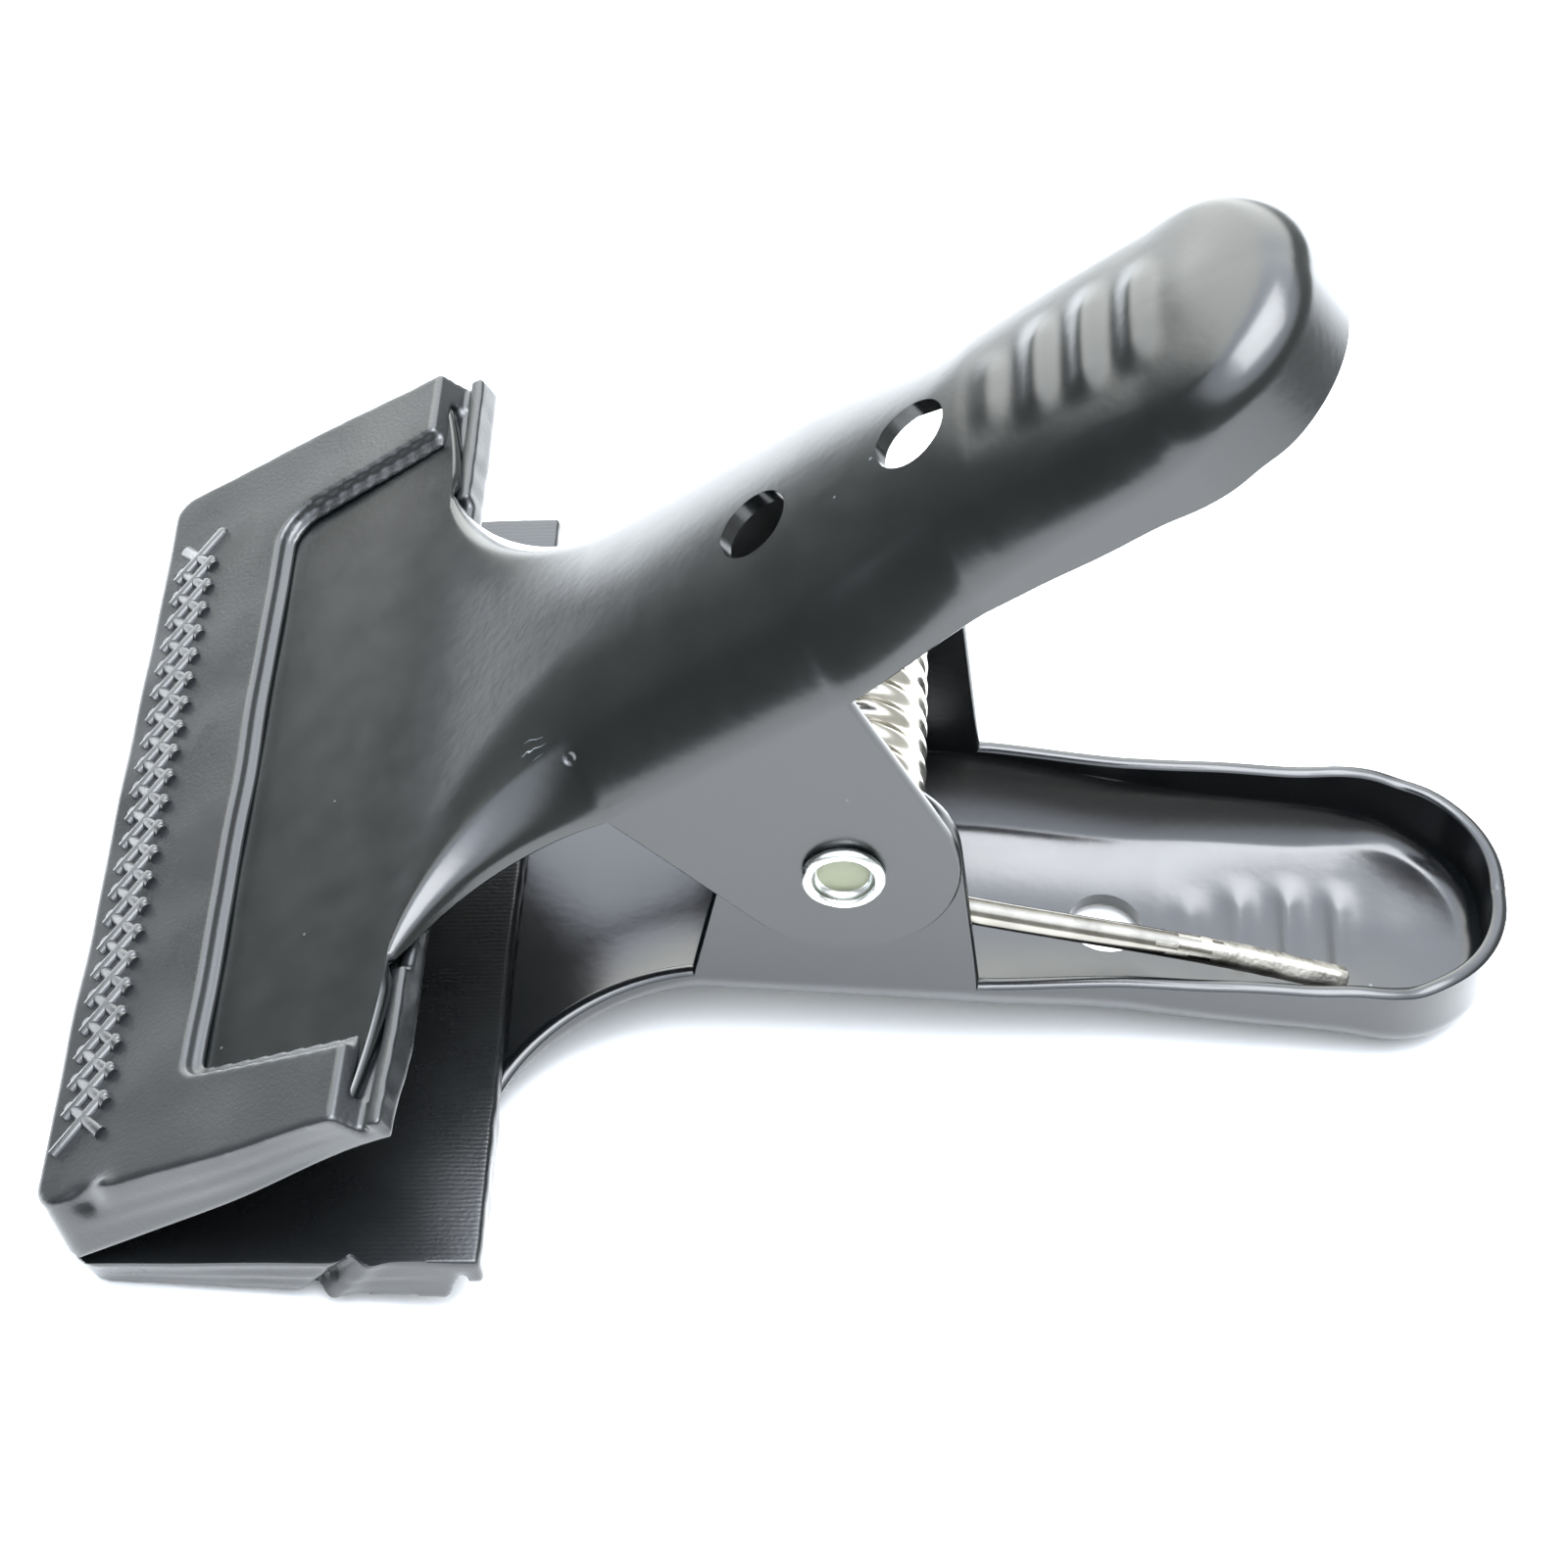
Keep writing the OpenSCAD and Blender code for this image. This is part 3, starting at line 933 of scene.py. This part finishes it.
def wire_path():
    """Centre line about the pivot, with the clamp's two levers level to each other."""
    half = (UPPER_ANGLE - LOWER_ANGLE) / 2
    end = np.array([LEG_REACH * math.cos(half) - LEG_H * math.sin(half),
                    LEG_REACH * math.sin(half) + LEG_H * math.cos(half)])
    leave = math.atan2(end[1], end[0]) + math.acos(COIL_R / np.hypot(*end))
    steps = int(SWEEP / (2 * math.pi) * TURN_STEPS)
    i = np.arange(steps + 1)
    a = -leave - SWEEP * i / steps
    coil = np.column_stack([COIL_R * np.cos(a), COIL_HW * (2 * i / steps - 1),
                            COIL_R * np.sin(a)])
    t = np.linspace(0, 1, LEG_STEPS + 1)[:-1]
    bow = LEG_BOW * t * (1 - t ** 7)
    tip = np.array([end[0], -LEG_Y, -end[1]])
    leg = tip + (coil[0] - tip) * t[:, None]
    leg[:, 1] = -LEG_Y - (COIL_HW - LEG_Y) * smooth(0.1, 1, t) + LEG_IN * (1 - t)
    leg[:, 2] += LEG_DROP * (1 - t) - bow
    far = leg * [1, -1, -1]
    return np.vstack([leg, coil, far[::-1]])


wire_run = np.linalg.norm(np.diff(wire_path(), axis=0), axis=1).sum()
print("wire", round(wire_run), "mm long,", round(math.degrees(SWEEP) / 360, 2), "turns")

# %% Tube along the wire
def sweep(path, radius, sides):
    """Rings of points round a path, turned as little as possible from ring to ring."""
    tangent = np.gradient(path, axis=0)
    tangent /= np.linalg.norm(tangent, axis=1)[:, None]
    u = np.cross(tangent[0], (0, 1, 0))
    points = []
    a = 2 * math.pi * np.arange(sides) / sides
    for p, t, r in zip(path, tangent, radius):
        u = u - t * (u @ t)
        u /= np.linalg.norm(u)
        w = np.cross(t, u)
        points.append(p + r[:, None] * (np.cos(a)[:, None] * u + np.sin(a)[:, None] * w))
    return np.vstack(points)


# %% Scuffed and sheared ends
WIRE_SIDES = 20
SCUFF_DEPTH = 0.035
GRIP_DENT = 0.16
RAGGED = 0.14
SHEARED = ((0.82, 0.16), (0.5, 0.10), (0.22, -0.06))


def wire_radius(rings, rng):
    """The wire's radius at every point: dented where it was gripped for bending."""
    radius = np.full((rings, WIRE_SIDES), WIRE_D / 2)
    from_end = np.minimum(np.arange(rings), np.arange(rings)[::-1])
    scuffed = smooth(15, 2, from_end)[:, None]
    radius += rng.normal(0, SCUFF_DEPTH, (rings, WIRE_SIDES)) * scuffed
    jaw_marks = np.abs(np.sin(np.arange(WIRE_SIDES) * 0.9 + 1.2))[None, :] ** 4
    return radius - GRIP_DENT * scuffed * jaw_marks


def sheared_end(points, faces, path, at_start, rng):
    """Closes one end with ragged rings, each a smaller share of the wire's own size."""
    ring_at, inward = (0, 1) if at_start else (len(path) - 1, -1)
    first = ring_at * WIRE_SIDES
    rim = points[first:first + WIRE_SIDES]
    along = path[ring_at] - path[ring_at + inward]
    along /= np.linalg.norm(along)
    outer = [first + k for k in range(WIRE_SIDES)]
    for share, out in SHEARED:
        inner = [len(points) + k for k in range(WIRE_SIDES)]
        ring = [path[ring_at] + (rim[k] - path[ring_at]) * share
                + along * (out + RAGGED * rng.uniform(-1, 1)) for k in range(WIRE_SIDES)]
        points = np.vstack([points, ring])
        for k in range(WIRE_SIDES):
            m = (k + 1) % WIRE_SIDES
            quad = (outer[k], outer[m], inner[m], inner[k])
            faces.append(quad if at_start else quad[::-1])
        outer = inner
    faces.append(tuple(outer) if at_start else tuple(reversed(outer)))
    return points


# %% Wind the spring
def wind_spring():
    path = wire_path()
    rng = np.random.default_rng(5)
    points = sweep(path, wire_radius(len(path), rng), WIRE_SIDES)
    faces = [(a, d, c, b) for a, b, c, d in tube_faces(0, len(path), WIRE_SIDES)]
    for at_start in (True, False):
        points = sheared_end(points, faces, path, at_start, rng)
    c, s = math.cos(TILT), math.sin(TILT)
    x, y, z = points.T
    turned = np.column_stack([PIVOT[0] + x * c - z * s, y, PIVOT[2] + x * s + z * c])
    spring = mesh_object("wound_wire_spring", turned * MM, faces)
    clean(spring, 1e-7)
    shade_smooth(spring, 50)
    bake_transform(spring)
    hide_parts("torsion_spring")
    print(spring.name, len(spring.data.polygons), "faces")
    return spring


spring = wind_spring()

# %% [markdown]
# ## Hollow rivet
# The rivet is a turned pin with a drilled end. The press rolls the thin wall of that end
# outwards into a bright lip, and the other end has a low made head. A turned part is a
# profile spun round its axis, so that is how it is drawn.

# %% Rivet
RIVET_SIDES = 72
SHANK_R = 2.6
HEAD_R = 4.3
HEAD_EDGE = 0.22
HEAD_H = 0.68
LIP_H = 0.9
EAR_OUT = UPPER_HW + 0.15


def quarter_round(centre_r, centre_y, radius, start, end, steps):
    return [(centre_r + radius * math.cos(a), centre_y + radius * math.sin(a))
            for a in np.linspace(start, end, steps)]


def rivet_profile():
    """Radius and place along the pin, from the hollow end's floor to the made head."""
    tip = -EAR_OUT - LIP_H
    profile = [(0.0, 0.5), (0.8, 0.46), (1.6, 0.34), (2.15, 0.1), (2.42, -0.2)]
    profile = [(r, y - EAR_OUT) for r, y in profile]
    profile += quarter_round(2.8, tip + 0.34, 0.34, math.pi, 1.5 * math.pi, 7)
    profile += quarter_round(2.86, tip + 0.52, 0.52, -math.pi / 2, math.pi / 3, 10)
    profile += [(2.9, -EAR_OUT + 0.02), (SHANK_R, -EAR_OUT + 0.04), (SHANK_R, -EAR_OUT + 1.0),
                (SHANK_R, EAR_OUT - 1.0), (SHANK_R, EAR_OUT), (4.1, EAR_OUT),
                (HEAD_R - 0.03, EAR_OUT + 0.08), (HEAD_R, EAR_OUT + HEAD_EDGE)]
    for a in np.linspace(0.05, 1, 10) * math.pi / 2:
        profile.append((max(HEAD_R * math.cos(a), 0.0),
                        EAR_OUT + HEAD_EDGE + HEAD_H * math.sin(a)))
    return profile


print("rivet", round(2 * EAR_OUT + LIP_H + HEAD_EDGE + HEAD_H, 2), "mm long")


def spin_rivet():
    """Spins the profile. Pressed ends are never quite round, so they wander a little."""
    profile, points = rivet_profile(), []
    wobble = np.random.default_rng(3).uniform(0, 2 * math.pi, 3)
    for r, y in profile:
        for a in 2 * math.pi * np.arange(RIVET_SIDES) / RIVET_SIDES:
            uneven = 0.012 * math.sin(2 * a + wobble[0]) + 0.006 * math.sin(5 * a + wobble[1])
            out = r * (1 + uneven) if abs(y) > EAR_OUT else r
            points.append((PIVOT[0] + out * math.cos(a), y, PIVOT[2] + out * math.sin(a)))
    faces = tube_faces(0, len(profile), RIVET_SIDES)
    rivet = clean(mesh_object("hollow_rivet", np.array(points) * MM, faces), 1e-6)
    shade_smooth(rivet, 40)
    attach(rivet, "lower")
    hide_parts("pivot_rivet")
    print(rivet.name, len(rivet.data.polygons), "faces")
    return rivet


rivet = spin_rivet()

# %% [markdown]
# ## Satin black stove paint on pressed steel
# The levers are dipped and baked, so the paint is thin, tough and a little uneven, with a
# fine orange peel that frays the edge of each reflection. Dust and small nicks show grey.
# The upper lever has one small pit in its neck, and two short rub marks beside it. It is a
# dielectric, so it isn't metallic: nearly all its brightness is a reflection of the tent,
# and roughness sets how sharp that is. The pit is bump and the marks are colour, because
# both are thinner than the paint.

# %% Materials onto pieces, and how near a place is to a point
def dress(obj, *materials):
    obj.data.materials.clear()
    for material in materials:
        obj.data.materials.append(material)


def nearness(tree, where, point, settings=None, **span):
    """A fade by the distance from a point that is given in millimetres."""
    gap = add(tree, "ShaderNodeVectorMath", {"operation": "DISTANCE"}, i0=where,
              i1=[v * MM for v in point])
    return add(tree, "ShaderNodeMapRange", settings, Value=gap.outputs["Value"], **span)


# %% Dust and rub marks in the paint's colour
DUST_GREY = "#3c4042"
RUB_GREY = "#8b9193"
DUST_APART_MM = 5.5
DUST_SIZE_MM = 1.6
RUB_APART_MM = 0.8
WAVE_TURN = 0.314  # a Wave texture of this scale has one band in each unit of length


def dusty_colour(tree, where, dark, pale):
    mottle = add(tree, "ShaderNodeTexNoise", Vector=where, Scale=1 / (9 * MM), Detail=4.0)
    tone = add(tree, "ShaderNodeMix", {"data_type": "RGBA"}, i0=mottle.outputs["Fac"],
               i6=linear(dark), i7=linear(pale))
    specks = add(tree, "ShaderNodeTexVoronoi", {"feature": "F1"}, Vector=where,
                 Scale=1 / (DUST_APART_MM * MM))
    small = add(tree, "ShaderNodeTexNoise", Vector=where, Scale=1 / (DUST_SIZE_MM * MM))
    size = add(tree, "ShaderNodeMath", {"operation": "MULTIPLY"}, i0=small.outputs["Fac"],
               i1=0.055)
    dust = add(tree, "ShaderNodeMath", {"operation": "LESS_THAN"},
               i0=specks.outputs["Distance"], i1=size.outputs[0])
    return add(tree, "ShaderNodeMix", {"data_type": "RGBA"}, i0=dust.outputs[0],
               i6=tone.outputs[2], i7=linear(DUST_GREY)).outputs[2]


def rubbed_colour(tree, where, colour, point):
    """Two or three thin grey strokes close to a point."""
    patch = nearness(tree, where, point, From_Min=1.3 * MM, From_Max=0.5 * MM, To_Max=0.45)
    strokes = add(tree, "ShaderNodeTexWave", {"bands_direction": "Y"}, Vector=where,
                  Scale=WAVE_TURN / (RUB_APART_MM * MM), Distortion=9.0, Detail=3.0)
    thin = add(tree, "ShaderNodeMath", {"operation": "GREATER_THAN"},
               i0=strokes.outputs["Fac"], i1=0.985)
    mark = add(tree, "ShaderNodeMath", {"operation": "MULTIPLY"}, i0=patch.outputs[0],
               i1=thin.outputs[0])
    return add(tree, "ShaderNodeMix", {"data_type": "RGBA"}, i0=mark.outputs[0],
               i6=colour, i7=linear(RUB_GREY)).outputs[2]


# %% Black stove paint
# Both places are on the neck of the upper lever, in millimetres in the clamp's frame.
PIT_AT = (-18.72, -12.52, 34.18)
RUB_AT = (-21.8, -10.7, 33.3)
PEEL_MM = 0.75


def stove_paint(name, dark, pale, pit=None, rub=None):
    material, tree, shader = new_material(name, IOR=1.52, Coat_Weight=0.0)
    where = add(tree, "ShaderNodeTexCoord").outputs["Object"]
    colour = dusty_colour(tree, where, dark, pale)
    if rub:
        colour = rubbed_colour(tree, where, colour, rub)
    tree.links.new(colour, shader.inputs["Base Color"])
    cloud = add(tree, "ShaderNodeTexNoise", Vector=where, Scale=1 / (4 * MM), Detail=6.0,
                Roughness=0.65)
    rough = add(tree, "ShaderNodeMapRange", Value=cloud.outputs["Fac"], From_Min=0.3,
                From_Max=0.7, To_Min=0.19, To_Max=0.24)
    tree.links.new(rough.outputs[0], shader.inputs["Roughness"])
    peel = add(tree, "ShaderNodeTexNoise", Vector=where, Scale=1 / (PEEL_MM * MM), Detail=2.0)
    bump = add(tree, "ShaderNodeBump", Strength=0.16, Distance=0.04 * MM,
               Height=peel.outputs["Fac"])
    if pit:
        bowl = nearness(tree, where, pit, {"interpolation_type": "SMOOTHSTEP"},
                        From_Min=0.2 * MM, From_Max=0.65 * MM)
        bump = add(tree, "ShaderNodeBump", Strength=0.7, Distance=0.2 * MM,
                   Height=bowl.outputs[0], Normal=bump.outputs["Normal"])
    tree.links.new(bump.outputs["Normal"], shader.inputs["Normal"])
    return material


dress(upper_lever, stove_paint("black_stove_paint", "#050707", "#080b0b", PIT_AT, RUB_AT))
dress(lower_lever, stove_paint("black_stove_paint_lower", "#060809", "#0a0c0e"))
print("paint:", [m.name for m in upper_lever.data.materials])

# %% [markdown]
# ## Moulded rubber
# Carbon-black rubber takes the finish of its mould. It is a shade greyer than the paint,
# with a low sheen, a fine grain and a trace of mould powder. The gripping face keeps the
# cutter marks of its mould, which run back from the front edge 0.45 mm apart. Grain and
# marks are far finer than the mesh, so they are bump.

# %% Rubber
GRAIN_MM = 0.35
CUTTER_MARKS_MM = 0.45
POWDER_GREY = "#34383a"


def moulded_rubber(name, dark, pale, ribs):
    material, tree, shader = new_material(name, IOR=1.52)
    where = add(tree, "ShaderNodeTexCoord").outputs["Object"]
    cloud = add(tree, "ShaderNodeTexNoise", Vector=where, Scale=1 / (12 * MM), Detail=5.0,
                Roughness=0.6)
    tone = add(tree, "ShaderNodeMix", {"data_type": "RGBA"}, i0=cloud.outputs["Fac"],
               i6=linear(dark), i7=linear(pale))
    fine = add(tree, "ShaderNodeTexNoise", Vector=where, Scale=1 / (0.45 * MM), Detail=2.0)
    powder = add(tree, "ShaderNodeMapRange", Value=fine.outputs["Fac"], From_Min=0.68,
                 From_Max=0.8, To_Min=0.0, To_Max=0.12)
    dusty = add(tree, "ShaderNodeMix", {"data_type": "RGBA"}, i0=powder.outputs[0],
                i6=tone.outputs[2], i7=linear(POWDER_GREY))
    tree.links.new(dusty.outputs[2], shader.inputs["Base Color"])
    rough = add(tree, "ShaderNodeMapRange", Value=cloud.outputs["Fac"], From_Min=0.3,
                From_Max=0.7, To_Min=0.25, To_Max=0.33)
    tree.links.new(rough.outputs[0], shader.inputs["Roughness"])
    grain = add(tree, "ShaderNodeTexNoise", Vector=where, Scale=1 / (GRAIN_MM * MM),
                Detail=3.0)
    bump = add(tree, "ShaderNodeBump", Strength=0.35, Distance=0.05 * MM,
               Height=grain.outputs["Fac"])
    if ribs:
        marks = add(tree, "ShaderNodeTexWave", {"bands_direction": "Y"}, Vector=where,
                    Scale=WAVE_TURN / (CUTTER_MARKS_MM * MM), Distortion=2.5, Detail=2.0)
        bump = add(tree, "ShaderNodeBump", Strength=0.3, Distance=0.02 * MM,
                   Height=marks.outputs["Fac"], Normal=bump.outputs["Normal"])
    tree.links.new(bump.outputs["Normal"], shader.inputs["Normal"])
    return material


rubber = moulded_rubber("moulded_black_rubber", "#0c0d0e", "#141617", False)
ribbed = moulded_rubber("ribbed_black_rubber", "#0c0d0e", "#131516", True)
for pad, grip in ((upper_pad, upper_grip), (lower_pad, lower_grip)):
    dress(pad, rubber, ribbed)
    for index in grip:
        pad.data.polygons[index].material_index = 1
    print(pad.name, len(grip), "ribbed faces")
dress(upper_lattice, rubber)
dress(lower_lattice, rubber)

# %% [markdown]
# ## Bright metals
# Spring wire is drawn through a die and left bare, so it is glossy with a slightly warm
# tint. The turns are bright, the legs are painted darker for the shade they lie in inside
# the handles, and an end that was gripped and sheared is rough, with dark hollows. The
# rivet is zinc plated and passivated: bright outside, with a yellow-green film in its
# hollow that is also painted darker as the hollow's shade. All are metals with the usual
# index of refraction, so only colour, roughness and a fine bump tell them apart.

# %% Metals
def bare_metal(name, dark, pale, low_rough, high_rough, grain, depth):
    material, tree, shader = new_material(name, Metallic=1.0)
    where = add(tree, "ShaderNodeTexCoord").outputs["Object"]
    stain = add(tree, "ShaderNodeTexNoise", Vector=where, Scale=1 / (3 * MM), Detail=5.0)
    tone = add(tree, "ShaderNodeMix", {"data_type": "RGBA"}, i0=stain.outputs["Fac"],
               i6=linear(dark), i7=linear(pale))
    tree.links.new(tone.outputs[2], shader.inputs["Base Color"])
    rough = add(tree, "ShaderNodeMapRange", Value=stain.outputs["Fac"], From_Min=0.3,
                From_Max=0.7, To_Min=low_rough, To_Max=high_rough)
    tree.links.new(rough.outputs[0], shader.inputs["Roughness"])
    scratch = add(tree, "ShaderNodeTexNoise", Vector=where, Scale=1 / (grain * MM), Detail=4.0)
    bump = add(tree, "ShaderNodeBump", Strength=0.4, Distance=depth * MM,
               Height=scratch.outputs["Fac"])
    tree.links.new(bump.outputs["Normal"], shader.inputs["Normal"])
    return material


drawn_wire = bare_metal("drawn_spring_wire", "#a9a59b", "#d8d5cc", 0.16, 0.26, 0.5, 0.01)
# Painted shade: the legs get a darker wire colour that stands for the shade inside the handles.
leg_wire_painted_shade = bare_metal("leg_spring_wire_painted_shade", "#5a5751", "#98958d", 0.14, 0.24, 0.5, 0.01)
sheared_wire = bare_metal("sheared_spring_wire", "#4a4843", "#c9c5bb", 0.3, 0.55, 0.35, 0.12)
zinc = bare_metal("passivated_zinc", "#b4b8b6", "#dcdedb", 0.2, 0.34, 0.5, 0.04)
# A real yellow-green passivate film, made darker as painted shade for the inside of the hole.
hollow_film_and_painted_shade = bare_metal("passivate_film_and_painted_shade", "#585a4e", "#7f8270", 0.38, 0.55, 0.5, 0.05)

# %% Which faces have which metal
TURNS_OUT = 8.0
SHEARED_LENGTH = 13.0
HOLLOW_R = 2.2


def from_pivot(face):
    """Distance of a face from the rivet's axis, in millimetres."""
    x, _, z = face.center
    return math.hypot(x - PIVOT[0] * MM, z - PIVOT[2] * MM) / MM


dress(spring, drawn_wire, leg_wire_painted_shade, sheared_wire)
# Faces past TURNS_OUT from the axis are on the legs, so they get the wire colour that paints
# their shade.
for face in spring.data.polygons:
    out = from_pivot(face)
    ragged = 6.0 * abs(math.sin(face.index * 1.7)) ** 3
    sheared = out > LEG_REACH - SHEARED_LENGTH + ragged
    face.material_index = 2 if sheared else int(out > TURNS_OUT)
dress(rivet, zinc, hollow_film_and_painted_shade)
for face in rivet.data.polygons:
    # Faces inside the hollow get the yellow-green film with its painted shade.
    in_hollow = -(UPPER_HW + 0.2) * MM < face.center.y < 0 and from_pivot(face) < HOLLOW_R
    face.material_index = int(in_hollow)
print("materials:", sorted(m.name for m in bpy.data.materials))
